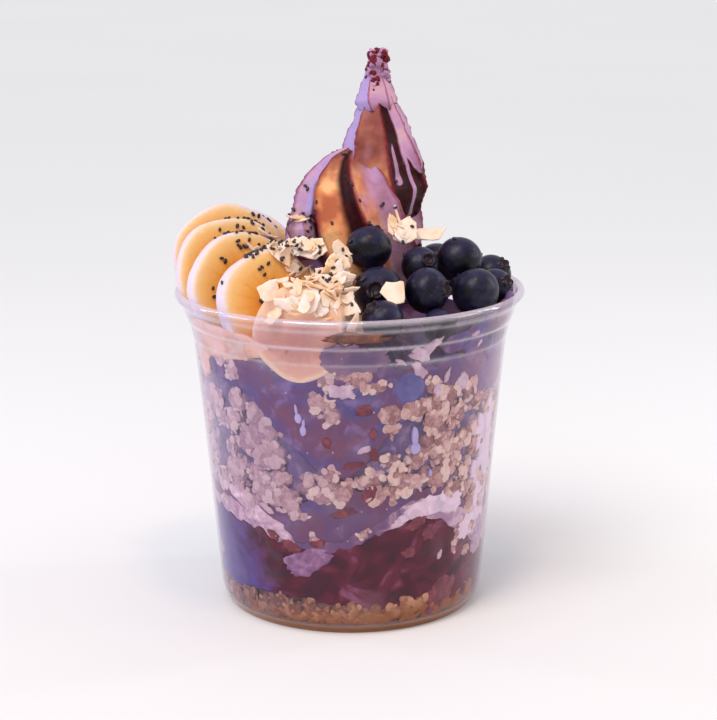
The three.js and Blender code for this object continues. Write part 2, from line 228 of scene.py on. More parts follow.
class Wire:
    """One output of a node; arithmetic on it adds Math nodes."""

    def __init__(self, finish, socket):
        self.finish = finish
        self.socket = socket

    def reckon(self, operation, *values):
        return self.finish.node("ShaderNodeMath", {"operation": operation}, dict(enumerate(values)))

    def __add__(self, other):
        return self.reckon("ADD", self, other)

    def __sub__(self, other):
        return self.reckon("SUBTRACT", self, other)

    def __rsub__(self, other):
        return self.reckon("SUBTRACT", other, self)

    def __mul__(self, other):
        return self.reckon("MULTIPLY", self, other)

    def __pow__(self, other):
        return self.reckon("POWER", self, other)

    def __neg__(self):
        return self * -1

    __radd__ = __add__
    __rmul__ = __mul__


class Finish:
    """A material being made; node() adds any node and returns its output as a Wire."""

    def __init__(self, name):
        self.material = bpy.data.materials.new(name)
        self.material.use_nodes = True
        self.tree = self.material.node_tree
        self.tree.nodes.clear()

    def node(self, kind, settings=None, sockets=None, out=0):
        made = self.tree.nodes.new(kind)
        for setting, value in (settings or {}).items():
            if setting == "stops":
                self.fill_ramp(made.color_ramp, value)
            else:
                setattr(made, setting, value)
        for socket, value in (sockets or {}).items():
            if isinstance(value, Wire):
                self.tree.links.new(value.socket, made.inputs[socket])
            else:
                made.inputs[socket].default_value = value
        return Wire(self, made.outputs[out]) if made.outputs else None

    @staticmethod
    def fill_ramp(ramp, stops):
        """Sets a ramp's stops, (place, colour) pairs."""
        while len(ramp.elements) < len(stops):
            ramp.elements.new(1.0)
        for element, (place, colour) in zip(ramp.elements, stops):
            element.position = place
            element.color = colour

    def place(self):
        """Object coordinates, in metres in the cup's frame."""
        return self.node("ShaderNodeTexCoord", out="Object")

    def mark(self, name):
        """A value stored on the mesh."""
        return self.node("ShaderNodeAttribute", {"attribute_name": name}, out="Fac")

    def grain(self, size, detail=4.0, rough=0.55, warp=0.0):
        """Noise from 0 to 1 with features about a size across, in millimetres."""
        return self.node("ShaderNodeTexNoise", {}, {
            "Vector": self.place(), "Scale": 1 / (size * MM), "Detail": detail,
            "Roughness": rough, "Distortion": warp}, out="Fac")

    def ramp(self, value, *stops):
        """A colour that changes along a value, from (place, hex code) stops."""
        stops = [(place, tone(code)) for place, code in stops]
        return self.node("ShaderNodeValToRGB", {"stops": stops}, {0: value})

    def step(self, value, low, high):
        """0 below low, 1 above high, smooth between."""
        return self.node("ShaderNodeMapRange", {"interpolation_type": "SMOOTHSTEP"}, {
            "Value": value, "From Min": low, "From Max": high}, out="Result")

    def blend(self, share, one, other):
        """A colour between two, each a Wire or a hex code."""
        sockets = {0: share}
        for socket, colour in ((6, one), (7, other)):
            sockets[socket] = tone(colour) if isinstance(colour, str) else colour
        return self.node("ShaderNodeMix", {"data_type": "RGBA"}, sockets, out=2)

    def axis(self, name):
        """How far along X, Y or Z the place is, in metres."""
        return self.node("ShaderNodeSeparateXYZ", {}, {0: self.place()}, out=name)

    def outward(self, axis):
        """How much the surface faces along an axis, from -1 to 1."""
        normal = self.node("ShaderNodeNewGeometry", out="Normal")
        return self.node("ShaderNodeSeparateXYZ", {}, {0: normal}, out=axis)

    def relief(self, height, depth):
        """A normal from a height between 0 and 1 that stands for a depth in millimetres."""
        return self.node("ShaderNodeBump", {}, {
            "Height": height, "Distance": depth * MM, "Strength": 1.0})

    def part_of(self, share, one, other):
        """A shader between two."""
        return self.node("ShaderNodeMixShader", {}, {0: share, 1: one, 2: other})

    def skin(self, colour, roughness, normal=None, **fixed):
        """The finished material from a Principled shader; fixed values are set on its sockets."""
        sockets = {"Base Color": colour, "Roughness": roughness}
        if normal is not None:
            sockets["Normal"] = normal
        sockets.update({name.replace("_", " "): value for name, value in fixed.items()})
        shader = self.node("ShaderNodeBsdfPrincipled", {}, sockets)
        self.node("ShaderNodeOutputMaterial", {}, {"Surface": shader})
        return self.material


def soft(radius):
    """Scatter under a moist surface, to a depth in millimetres."""
    return {"Subsurface_Weight": 0.25, "Subsurface_Radius": (1.0, 0.55, 0.4),
            "Subsurface_Scale": radius * MM}


def patchy(name, patches, stops, roughness, relief, depth, **fixed):
    """A finish in soft patches of a few colours over low relief. Patches and relief are the
    values of their grain."""
    f = Finish(name)
    colour = f.ramp(f.grain(*patches), *stops)
    return f.skin(colour, roughness, f.relief(f.grain(*relief), depth), **fixed)


def clear_plastic():
    """See-through, darker and glossier edge on, with painted highlights as pale lines and more gloss
    on its ridges, and toasted by the granola at its foot."""
    f = Finish("clear_plastic")
    edge = f.node("ShaderNodeLayerWeight", {}, {"Blend": 0.5}, out="Facing")
    bead = f.mark("bead")
    waves = f.relief(f.grain(22, 1.0), 0.12)
    low = f.step(-f.axis("Z"), -0.004, -0.0015)
    clear = f.node("ShaderNodeBsdfTransparent", {}, {"Color": tone("#fbf9ff")})
    thick = f.node("ShaderNodeBsdfTransparent", {}, {"Color": tone("#c4b4d4")})
    cloudy = f.node("ShaderNodeBsdfDiffuse", {}, {"Color": tone("#f6e8f2")})
    toasted = f.node("ShaderNodeBsdfDiffuse", {}, {"Color": tone("#a8662c")})
    gloss = f.node("ShaderNodeBsdfAnisotropic", {}, {
        "Color": tone("#ffffff"), "Roughness": 0.05, "Normal": waves})
    # painted highlight: pale mist along the ridges, whose gloss is raised as well
    haze = f.step(f.grain(12, 2.0), 0.5, 0.8) * 0.05 + bead * 0.3 + edge ** 4 * 0.5 + low * 0.5
    mirror = edge ** 5 * 0.85 + 0.022 + bead * 0.12
    through = f.part_of(edge ** 3 * 0.8, clear, thick)
    seen = f.part_of(haze, through, f.part_of(low, cloudy, toasted))
    f.node("ShaderNodeOutputMaterial", {}, {"Surface": f.part_of(mirror, seen, gloss)})
    return f.material


def acai_filling():
    f = Finish("acai_filling")
    sweep = f.grain(17, 3.0, 0.5, 1.3)
    cloud = f.grain(6, 5.0, 0.6, 0.6)
    colour = f.ramp(sweep, (0.3, "#4d4280"), (0.42, "#5f4478"), (0.54, "#6c3f68"), (0.7, "#7a435c"))
    colour = f.blend(f.step(cloud, 0.5, 0.72) * 0.55, colour, "#9a7fae")
    down = -f.axis("Z")
    right = f.step(f.axis("X") + (sweep - 0.5) * 0.02, 0.024, 0.05)
    colour = f.blend(right * f.step(down, -0.095, -0.085) * 0.6, colour, "#b28a9c")
    low = f.step(down + (sweep - 0.5) * 0.03, -0.062, -0.04)
    colour = f.blend(low * 0.5, colour, "#6b3a58")
    normal = f.relief(f.grain(2.4, 4.0), 0.25)
    return f.skin(colour, f.grain(5) * 0.2 + 0.4, normal, **soft(1.0))


def pale_paste():
    return patchy("pale_paste", (5, 5.0, 0.6, 0.8),
                  [(0.32, "#594878"), (0.5, "#715780"), (0.68, "#a5849c")],
                  0.5, (2.0, 4.0), 0.3, **soft(1.0))


def thin_film():
    return patchy("thin_film", (9, 4.0, 0.5, 0.5),
                  [(0.3, "#70547a"), (0.5, "#866480"), (0.7, "#966f80")],
                  0.4, (3, 3.0), 0.1, **soft(1.0))


def milk_streaked():
    f = Finish("milk_streaked")
    cloud = f.grain(5, 5.0, 0.6, 1.2)
    apart = ((f.axis("X") + 0.004) ** 2) ** 0.5
    pale = f.step(apart + (cloud - 0.5) * 0.02, 0.014, 0.026)
    colour = f.ramp(cloud, (0.32, "#5c3f72"), (0.5, "#71486f"), (0.68, "#92627f"))
    white = f.ramp(cloud, (0.3, "#957496"), (0.5, "#bb93a4"), (0.68, "#e4c8cd"))
    colour = f.blend(pale, colour, white)
    return f.skin(colour, 0.4, f.relief(f.grain(3, 3.0), 0.2), **soft(1.0))


def milk_mass():
    f = Finish("milk_mass")
    cloud = f.grain(4, 5.0, 0.6, 1.0)
    colour = f.ramp(cloud, (0.3, "#ae889c"), (0.48, "#d3adb8"), (0.66, "#f0dadd"))
    colour = f.blend(f.step(f.axis("X"), 0.0, 0.035) * 0.6, colour, "#ffe9f0")
    return f.skin(colour, 0.35, f.relief(f.grain(2, 4.0), 0.3), **soft(1.0))


def peach_pulp():
    return patchy("peach_pulp", (7, 4.0, 0.55, 0.6),
                  [(0.3, "#e3a98e"), (0.5, "#efbfa8"), (0.7, "#f0cfc8")],
                  0.4, (2, 4.0), 0.2, **soft(1.0))


# painted shadow: a dark amber band under the rim, beside the front banana slice
def amber_shadow():
    return patchy("amber_shadow", (5, 4.0, 0.6, 0.8),
                  [(0.32, "#4e2210"), (0.5, "#74381a"), (0.68, "#a8663e")], 0.35, (2, 3.0), 0.1)


def lilac_lump():
    return patchy("lilac_lump", (4, 5.0, 0.6, 0.8),
                  [(0.3, "#6f4365"), (0.48, "#8e5e84"), (0.66, "#b388a8")],
                  0.4, (2, 4.0), 0.5, **soft(1.0))


def puree():
    f = Finish("berry_puree")
    sweep = f.grain(13, 4.0, 0.55, 1.4)
    wine = f.ramp(sweep, (0.3, "#36172c"), (0.44, "#4c1224"), (0.58, "#6a2036"), (0.72, "#8a4f6c"))
    left = f.step(-f.axis("X") - f.axis("Z") * 0.35 + (sweep - 0.5) * 0.03, 0.014, 0.034)
    colour = f.blend(left * 0.9, wine, "#4f438e")
    normal = f.relief(f.grain(4, 2.0), 0.2)
    return f.skin(colour, 0.5, normal, Specular_IOR_Level=0.15)


def granola(name, dark, shade, light, left, far_left="#dcc8d6"):
    """Crumbs from dark to light by their tint, tinged with the left colour towards the left, paler at
    the far left, and toasted on the floor of the cup."""
    f = Finish(name)
    fleck = f.grain(1.4, 4.0, 0.65)
    colour = f.ramp(f.mark("tint") * 0.7 + fleck - 0.35, (0.12, dark), (0.42, shade), (0.85, light))
    x = f.axis("X")
    leftward_tint = f.step(f.grain(9, 3.0, 0.5, 0.6) * 0.03 - x, 0.0, 0.05)
    far = f.step(-x, 0.033, 0.045)
    colour = f.blend(leftward_tint * 0.5, colour, f.blend(far, left, far_left))
    colour = f.blend(f.step(x * 0.08 - f.axis("Z"), -0.011, -0.003), colour, "#9c5c28")
    rough = f.relief(f.grain(0.7, 5.0, 0.7), 0.3)
    return f.skin(colour, 0.75, rough)


def swirl_skin():
    f = Finish("acai_swirl")
    coat = f.mark("coat") + (f.grain(2.2, 4.0, 0.6) - 0.5) * 0.2
    body = f.ramp(f.grain(6, 4.0, 0.6, 1.2), (0.32, "#1c0305"), (0.5, "#33070b"), (0.7, "#490f17"))
    patch = f.grain(8, 2.0)
    # painted reflection of the warm lamp: a brown-orange sheen, painted brighter orange on the foot
    # below
    sheen = f.blend(f.step(f.axis("Z"), 0.139, 0.15),
                    f.ramp(patch, (0.35, "#c06c4c"), (0.5, "#ea9a68"), (0.6, "#ffc48a")),
                    f.ramp(patch, (0.35, "#7c4038"), (0.5, "#935145"), (0.66, "#b06c56")))
    colour = f.blend(f.step(f.mark("sheen"), 0.1, 0.9), body, sheen)
    milky = f.ramp(f.grain(11, 3.0, 0.5, 0.6), (0.35, "#ab7c9c"), (0.5, "#c193b8"), (0.65, "#d3a6b4"))
    # painted light: milk on faces turned to the left is painted lilac, as if lit by the cool lamp
    milky = f.blend(f.step(-f.outward("X"), 0.1, 0.85) * 0.85, milky, "#a898d2")
    colour = f.blend(f.step(coat, 0.3, 0.7), colour, milky)
    colour = f.blend(f.step(f.mark("ridge"), 0.6, 0.95) * 0.75, colour, "#83242f")
    crumbs = f.relief(f.grain(1.2, 5.0, 0.65), 0.3)
    return f.skin(colour, 0.34, crumbs, Specular_IOR_Level=0.08, Coat_Weight=0.06,
                  Coat_Roughness=0.15, **soft(0.6))


def banana_flesh(name, middle="#e08a26", face="#f3aa46", pale="#f8c67c", rim="#e8d6e0", top=None):
    """Colours from a slice's middle to its rim; top is for what stands above the lip."""
    f = Finish(name)
    out = f.mark("out")
    core = f.mark("core")
    spokes = f.mark("spokes")
    fibre = f.grain(1.2, 5.0, 0.65)
    patch = f.grain(7, 3.0)
    # the rim is pale cream flesh, and its lilac tint is painted cool light
    colour = f.ramp(out + (fibre - 0.5) * 0.07 + (patch - 0.5) * 0.12, (0.0, middle), (0.5, face),
                    (0.86, pale), (0.95, "#f3d2a8"), (0.995, rim))
    colour = f.blend(f.step(core + (fibre - 0.5) * 0.3, 0.35, 0.8) * 0.5, colour, middle)
    colour = f.blend(spokes * 0.25, colour, middle)
    if top:
        over = f.step(f.axis("Z"), (HEIGHT - 6) * MM, (HEIGHT + 2) * MM)
        colour = f.blend(over, colour, top)
    normal = f.relief(fibre + spokes * 0.4, 0.22)
    return f.skin(colour, 0.45, normal, Subsurface_Weight=0.12, Subsurface_Scale=1.5 * MM)


def blueberry_skin():
    f = Finish("blueberry_skin")
    bloom = f.step(f.grain(5, 5.0, 0.65, 0.3), 0.42, 0.68)
    # real bloom in patches, plus painted light: faces turned up are painted paler, as if lit from
    # above
    bloom_and_top_light = bloom * 0.3 + f.step(f.outward("Z"), 0.1, 1.0) * 0.3
    colour = f.blend(bloom_and_top_light, "#0a070d", "#3a3864")
    colour = f.blend(f.step(f.mark("crown"), 0.3, 0.9), colour, "#2a1c26")
    speck = f.step(f.grain(0.5, 2.0), 0.68, 0.74)
    colour = f.blend(speck * 0.3, colour, "#8f93b8")
    normal = f.relief(f.grain(1.0, 4.0), 0.06)
    return f.skin(colour, f.grain(4) * 0.2 + 0.22, normal, Specular_IOR_Level=0.25)


def sunk_berry():
    return patchy("sunk_berry", (4, 4.0, 0.6),
                  [(0.3, "#4a4684"), (0.5, "#5c578f"), (0.7, "#75699c")], 0.4, (4, 4.0, 0.6), 0.2)


def coconut():
    f = Finish("coconut_flesh")
    cloud = f.grain(5, 3.0)
    colour = f.ramp(cloud + f.mark("tint") * 0.4 - 0.05, (0.35, "#fff0e8"), (0.62, "#fde2ce"),
                    (0.9, "#f8cb9c"))
    fibre = f.relief(f.grain(0.8, 4.0, 0.6), 0.12)
    return f.skin(colour, 0.6, fibre, **soft(1.5))


def wet_flake():
    return patchy("wet_flake", (4, 3.0), [(0.35, "#c4a2b0"), (0.5, "#d2b4bf"), (0.65, "#e2cad0")],
                  0.4, (0.8, 4.0, 0.6), 0.12, **soft(1.5))


def chia_seed():
    mottle = (0.45, 3.0, 0.6, 0.8)
    return patchy("chia_seed", mottle, [(0.35, "#1a1214"), (0.55, "#33262a"), (0.7, "#6a5a58")],
                  0.35, mottle, 0.03)


def white_drops():
    f = Finish("milk_drops")
    colour = f.blend(f.grain(3), "#aa9ccc", "#c9bbdd")
    return f.skin(colour, 0.3, f.relief(f.grain(4), 0.1), **soft(1.5))


def red_bits():
    return patchy("red_bits", (3, 3.0, 0.6, 0.5),
                  [(0.3, "#561328"), (0.5, "#761d32"), (0.7, "#9c4642")],
                  0.35, (1.5,), 0.2, **soft(1.0))


# ---- Cup ----
# height, half width and strength of the ridges, where a painted highlight shows as a pale line on the
# wall
RIDGES = [(HEIGHT - 0.6, 1.1, 0.9), (HEIGHT - 4, 0.5, 0.5), (COLLAR_Z, 0.5, 0.7), (STEP_Z, 0.5, 0.5),
          (2, 1.4, 0.12)]


def make_cup():
    underside = [(0.01, FLOOR_Z), (FOOT - 2.6, FLOOR_Z), (FOOT - 2.3, 0), (FOOT - 0.4, 0)]
    outline = [*underside, *OUTER_WALL, *reversed(INNER_WALL), (0.01, FLOOR_Z + WALL)]
    points, faces = closed_shell(turned(rounded(outline), 160))
    # the ridges carry painted highlights, pale lines on the wall
    bead = np.zeros(len(points))
    for height, half, weight in RIDGES:
        bead = np.maximum(bead, weight * np.exp(-((points[:, 2] - height) / half) ** 2))
    add_piece("cup_wall", points, faces, clear_plastic(), "clear_plastic", ["cup"], {"bead": bead})


# ---- Filling ----
REACH = 0.12       # how far the filling reaches into the wall
SIDE_STEPS = 360   # corners round a layer
SIDE_ROWS = 26     # rings up its side
UNDER = (0.02, 0.4, 0.75, 0.93)                       # rings of its underside, shares of the radius
OVER = (0.96, 0.88, 0.78, 0.66, 0.52, 0.4, 0.25, 0.02)  # and of its top
MOUND_Z = 101      # height of the mound under the toppings


def wall_line(node, upper, above=0):
    """Height of a layer's upper or lower edge at the wall, as a function of bearing."""
    points = node_points(node)
    outside = np.hypot(points[:, 0], points[:, 1]) > inner_radius(points[:, 2]) - 1.2
    outside &= points[:, 2] > above
    bearing = np.degrees(np.arctan2(points[outside, 0], -points[outside, 1]))
    heights = {}
    for at, height in zip(np.round(bearing), points[outside, 2]):
        pick = max if upper else min
        heights[at] = pick(height, heights.get(at, height))
    places = sorted(heights)
    levels = [heights[place] for place in places]

    def line(at):
        return np.interp(at, places, levels, period=360)
    return line


def ragged(line, depth, size, seed):
    """A layer's edge, evened out over a few degrees, with a natural unevenness added."""
    def height(bearing):
        turn = np.radians(bearing)
        ring = np.stack([np.sin(turn), np.cos(turn), 0 * turn], -1) * 40
        uneven = bumps(ring, size, seed) + 0.8 * bumps(ring, size / 3, seed)
        even = (line(bearing - 2.5) + line(bearing) + line(bearing + 2.5)) / 3
        return even + depth * (uneven + 0.4 * bumps(ring, size / 8, seed))
    return height


def drawn_in(bearing, edge, reach, share):
    """A ring inside a layer's edge; towards the axis it settles at the edge's mean height."""
    ring = on_wall(bearing, edge, reach)
    ring[:, :2] *= share
    ring[:, 2] = edge.mean() + (edge - edge.mean()) * share ** 2
    return ring


def make_layer(name, lower, upper, finish, slot, replaced, reach=REACH, rough=0.0, top=None):
    """A layer that runs through the cup, its side just inside the wall. Top gives the heights
    of its upper face where they aren't drawn in from its edge."""
    bearing = np.linspace(-180, 180, SIDE_STEPS, endpoint=False)
    low, high = lower(bearing), upper(bearing)
    rows = [drawn_in(bearing, low, reach, share) for share in UNDER]
    rows += [on_wall(bearing, low + (high - low) * share, reach)
             for share in np.linspace(0, 1, SIDE_ROWS)]
    for share in OVER:
        ring = drawn_in(bearing, high, reach, share)
        if top:
            ring[:, 2] = top(bearing, share)
        rows.append(ring)
    rings = np.array(rows)
    if rough:
        side = slice(len(UNDER), len(UNDER) + SIDE_ROWS)
        depth = rough * (bumps(rings[side], 5, 3) - 0.6 + 0.5 * bumps(rings[side], 2, 4))
        rings[side] += np.minimum(depth, 0)[..., None] * outwards(bearing)
    points, faces = closed_shell(rings)
    add_piece(name, points, faces, finish, slot, replaced, rest=top is not None)


FILL_LINE = wall_line("acai_upper", True, above=86)


def mound_top(bearing, share):
    """Top of the filling: it rises from the wall to a mound under the toppings."""
    wall = FILL_LINE(bearing)
    rise = np.clip((1 - share) / 0.5, 0, 1)
    rise = rise * rise * (3 - 2 * rise)
    height = wall + (MOUND_Z - wall) * rise
    spot = outwards(bearing) * share * 50
    return height + 0.9 * bumps(spot, 9, 7) + 0.4 * bumps(spot, 3, 8)


def level(height):
    """An edge at one height all round."""
    def line(bearing):
        return 0 * bearing + height
    return line


def raised(edge, rise):
    """The same edge, higher by a rise."""
    def line(bearing):
        return edge(bearing) + rise
    return line


def make_layers():
    base_top = ragged(wall_line("granola_base", True), 0.6, 9, 1)
    puree_top = ragged(wall_line("berry_puree", True), 1.8, 8, 2)
    milk_top = ragged(wall_line("milk_layer", True), 1.8, 8, 5)
    lower_top = ragged(wall_line("acai_lower", True), 1.4, 9, 6)
    middle_top = ragged(wall_line("granola_middle", True), 1.5, 9, 9)
    fill_top = ragged(FILL_LINE, 0.5, 8, 11)
    acai = acai_filling()
    # the core shows in the gaps between the clusters and is a little darker than they are: partly
    # painted shade in those gaps
    core = granola("granola_core_shaded", "#6e4434", "#9a6850", "#c08c68", "#5e4250")
    make_layer("granola_base_core", level(FLOOR_Z + 0.2), base_top, core, "granola",
               ["granola_base"], reach=0.0, rough=1.5)
    make_layer("puree_layer", base_top, puree_top, puree(), "berry_puree", ["berry_puree"])
    make_layer("milk_ribbon", puree_top, milk_top, milk_streaked(), "milk", ["milk_layer"])
    make_layer("acai_under", milk_top, lower_top, acai, "acai", ["acai_lower"])
    make_layer("granola_paste", lower_top, middle_top, pale_paste(), "acai", (), reach=-0.2, rough=1.3)
    make_layer("acai_over", middle_top, fill_top, acai, "acai", ["acai_upper"], top=mound_top)


# ---- Granola ----
BAND_RADIUS = 47  # of the wall round which clusters are spaced out


def ball(rows, sides):
    """A closed ball of radius 1 as (points, faces)."""
    tilt = np.linspace(-math.pi / 2, math.pi / 2, rows + 2)[1:-1]
    return closed_shell(turned(np.stack([np.cos(tilt), np.sin(tilt)], -1), sides))


def rough_lump(middle, size, random, grain=0.35, rows=7, sides=10):
    """A small irregular lump."""
    points, faces = ball(rows, sides)
    seed = random.integers(1000)
    swell = 1 + grain * bumps(points, 0.7, seed) + grain * 0.5 * bumps(points, 0.3, seed)
    return placed(points * swell[:, None] * size, any_turn(random), middle), faces


def oat_flake(random):
    """A rolled oat flake, about 1 across, slightly cupped, with a crease."""
    points, faces = ball(4, 8)
    points = points * (0.5, 0.36, 0.1)
    points[:, 2] += 0.25 * points[:, 0] ** 2 - 0.06 * np.exp(-(points[:, 1] / 0.07) ** 2)
    return placed(points, any_turn(random), (0, 0, 0)), faces


def cluster(random):
    """A granola cluster of radius about 1: crumbs and oat flakes stuck together."""
    points, faces = rough_lump((0, 0, 0), 0.7, random)
    parts = [(points, faces, {"tint": random.uniform(0, 0.3)})]
    for count, size, spread in ((7, 0.38, 0.62), (5, 0.2, 0.85)):
        for _ in range(count):
            way = random.normal(size=3) * (1, 1, 0.8)
            way *= spread / np.linalg.norm(way)
            points, faces = rough_lump(way, size * random.uniform(0.7, 1.2), random, 0.3, 4, 7)
            parts.append((points, faces, {"tint": random.uniform(0, 1)}))
    for _ in range(5):
        flake, flake_faces = oat_flake(random)
        way = random.normal(size=3)
        way *= random.uniform(0.7, 0.9) / np.linalg.norm(way)
        parts.append((flake * random.uniform(0.7, 1.1) + way, flake_faces,
                      {"tint": random.uniform(0.3, 1)}))
    return join(parts)


def press_to_wall(points, give=1.3, reach=0.6):
    """Flattens what would pass the wall into its last few millimetres, so relief stays."""
    radius = np.hypot(points[:, 0], points[:, 1])
    limit = inner_radius(points[:, 2]) + reach
    over = np.maximum(radius - (limit - give), 0)
    held = np.where(over > 0, limit - give * np.exp(-over / give), radius)
    pressed = points.copy()
    pressed[:, :2] *= (held / np.maximum(radius, 1e-6))[:, None]
    pressed[:, 2] = np.maximum(pressed[:, 2], FLOOR_Z + 0.3)
    return pressed


def granola_at(places, random, kinds):
    """Clusters at (bearing, height, size, depth) places, pressed against the wall."""
    parts = []
    for bearing, height, size, depth in places:
        points, faces, marks = kinds[random.integers(len(kinds))]
        middle = on_wall(bearing, height, -depth)
        shaped = placed(points * size, any_turn(random), middle)
        parts.append((press_to_wall(shaped), faces, marks))
    return parts


def fill_band(lower, upper, random, spacing, size):
    """Cluster places that fill a band between two edges all round the wall."""
    places = []
    for bearing in np.arange(-180, 180, math.degrees(spacing / BAND_RADIUS)):
        low, high = float(lower(np.array(bearing))), float(upper(np.array(bearing)))
        for height in np.arange(low + size * 0.5, high - size * 0.2, spacing):
            grown = size * random.uniform(0.55, 1.2)
            if random.uniform() < 0.93:
                places.append((bearing + random.uniform(-4, 4), height + random.uniform(-3, 2.5),
                               grown, grown * random.uniform(0.2, 0.6)))
    return places


# bearing, height and radius of the clusters that stand apart from the band
LOOSE_CLUSTERS = [
    (-12, 79, 5), (-7, 75.5, 5), (-3, 89, 4.5), (3, 87, 5), (9, 84, 4.5), (-9, 86, 4), (15, 75.5, 5),
    (15, 70, 3.6), (26, 76, 5), (33, 71, 5.5), (39, 79, 6), (50, 80, 5), (31, 83, 4), (-9, 55, 5),
    (-12, 47.5, 4.5), (10, 48.5, 5), (17, 47.5, 3.6), (-54, 89.5, 4.5), (-48, 86, 4.5),
    (-38, 71.5, 5), (-35, 59.5, 5), (-29, 52, 5), (-32, 45, 5), (-22, 41.5, 4.5), (50, 31, 4),
    (48, 26, 3), (65, 37, 5), (57, 39, 5), (67, 44, 5), (60, 30, 4), (56, 23, 3), (-15, 33, 3),
    (-28, 32, 2.5), (5, 35, 3), (34, 76, 5), (44, 72, 5.2), (37.5, 64, 4.6), (47, 62, 5),
    (41, 56, 5), (50, 52, 5), (45, 46, 4.6), (-46, 76, 5), (-52, 68, 5), (-44, 62, 5),
    (-38, 50, 5), (-50, 54, 5)]
# the same for clusters that show at the floor of the cup
FLOOR_CLUSTERS = [
    (2, 8, 3.6), (10, 8, 3.8), (17, 7, 3.6), (24, 6.5, 4.2), (31, 8.5, 4.4), (38, 6, 4.2),
    (45, 7, 3.8), (53, 6, 3.6), (62, 8, 3.8), (-5, 8.5, 3.8), (-12, 6.5, 3.6), (-18, 9.5, 3.8),
    (-25, 7, 3.8), (-33, 9.5, 3.8), (-41, 8, 4), (-50, 9.5, 4), (-60, 8, 4), (-1, 5, 3), (-8, 5, 3),
    (13, 4.8, 3)]


def make_granola():
    random = np.random.default_rng(21)
    kinds = [cluster(random) for _ in range(8)]
    dry = granola("granola_dry", "#7a4a34", "#a8704f", "#d8a27a", "#5e4250", "#7a6070")
    pink = granola("granola_pink", "#9a6c68", "#cfa296", "#f0d2c0", "#a890ac")
    base_top = wall_line("granola_base", True)
    places = fill_band(level(2), raised(base_top, 1.5), random, 4.7, 3.7)
    places += [(*place, place[2] * 0.12) for place in FLOOR_CLUSTERS]
    add_joined("granola_base_clusters", granola_at(places, random, kinds), dry, "granola",
               smooth=False)
    low = wall_line("granola_middle", False)
    high = wall_line("granola_middle", True)
    random = np.random.default_rng(6)
    places = fill_band(low, high, random, 7.6, 5.8)
    # left of the middle the band leaves a gap, where the acai shows
    places = [place for place in places if place[1] < 51 or not -29 < place[0] < -14]
    add_joined("granola_clusters", granola_at(places, random, kinds), pink, "granola",
               ["granola_middle"], smooth=False)
    places = [(*place, place[2] * 0.25) for place in LOOSE_CLUSTERS]
    add_joined("granola_loose", granola_at(places, random, kinds), pink, "granola", smooth=False)


# ---- What shows against the wall ----
def smear(bearing, height, wide, tall, lean=0.0, *, seed, reach, torn, sides):
    """A flat mass pressed against the wall, its torn edge falling back into the filling."""
    turn = full_turn(sides)
    way = np.stack([np.cos(turn), np.sin(turn), 0 * turn], -1)
    outline = 1 + torn * bumps(way, 0.7, seed) + torn * 0.6 * bumps(way, 0.25, seed + 1)
    slope = math.radians(lean)
    rings = []
    for share, fall in ((0.05, -1.8), (0.9, -1.8), (1, -1), (0.97, -0.35), (0.9, -0.1), (0.75, 0),
                        (0.5, 0), (0.25, 0), (0.05, 0)):
        across = wide / 2 * share * outline * way[:, 0]
        up = tall / 2 * share * outline * way[:, 1]
        along = across * math.cos(slope) - up * math.sin(slope)
        rise = across * math.sin(slope) + up * math.cos(slope)
        turned_by = np.degrees(along / inner_radius(height))
        rings.append(on_wall(bearing + turned_by, height + rise, reach + fall))
    return (*closed_shell(np.array(rings)), {})


# bearing and height of each mass's middle, its width, its own height, and how far it leans
MILK_MASSES = [
    (66, 40, 12, 26, 0), (68, 60, 11, 26, 3), (56, 31, 12, 9, 20), (31, 41.5, 20, 7, 8),
    (43, 42, 12, 8, -10), (62, 62, 9, 13, 4), (60, 50, 7, 7, 20), (-37, 37.5, 20, 5, -22),
    (-50, 43, 14, 6, -20), (-28, 33, 9, 3, -30), (20, 38.5, 8, 3, 30)]
FILM_MASSES = [
    (-1.5, 92.5, 16, 9, 0), (4.5, 92.5, 13, 8, 12), (-5, 95, 9, 7, 20), (9, 93, 8, 5, 0),
    (2, 96, 8, 5, -15)]
SIDE_MASSES = [(40, 96, 14, 7, 5), (54, 96, 19, 12, 0), (64, 92, 12, 10, 0), (67, 101, 17, 13, 0)]
SIDE_BLOOM = [(67, 26, 10, 15, 0)]
PEACH_MASSES = [(-58, 95, 46, 11, 0), (-70, 88, 14, 16, 0), (-44, 94, 12, 9, 0)]
# a dark amber band under the rim: painted shadow
AMBER_SHADOW_LINE = [(2.5, 100.3, 21, 3.2, 0), (-2, 101, 9, 3, 8)]
LILAC_LUMPS = [(-18.5, 24.8, 18, 8, 24), (-75, 20, 6, 5, 0)]
RED_BITS = [
    (5, 76.6, 5.6, 3.6, 20), (-9, 65.8, 2.8, 3.8, 30), (9, 61.6, 3, 5, 5), (8.5, 68.5, 2.6, 4.4, 0),
    (1, 58.4, 7.6, 2.4, 12), (7.6, 48.6, 4, 6.6, -25), (-3, 42.2, 9, 3, 14), (-25, 29.6, 7, 4, -20),
    (-33, 32.5, 5, 3, -30), (41, 10.5, 14, 10, 40), (24, 27, 5, 4, 0), (33, 33, 6, 5, 30),
    (-14, 31.5, 5, 3, 10), (36, 5.5, 5, 4, 0), (27, 37, 8, 4, 20), (68, 97, 7, 12, 10)]
WHITE_DROPS = [
    (-19.3, 73.4, 2.4, 3.4, 5), (-17.6, 69.4, 2.2, 3.6, 0), (25, 62.6, 3.6, 4, 0),
    (24.6, 66.5, 2.2, 7, 3), (32, 53.5, 1.1, 2.6, 0), (-19.9, 76.2, 1, 4, 8), (-17.3, 71.8, 1, 3, -4)]
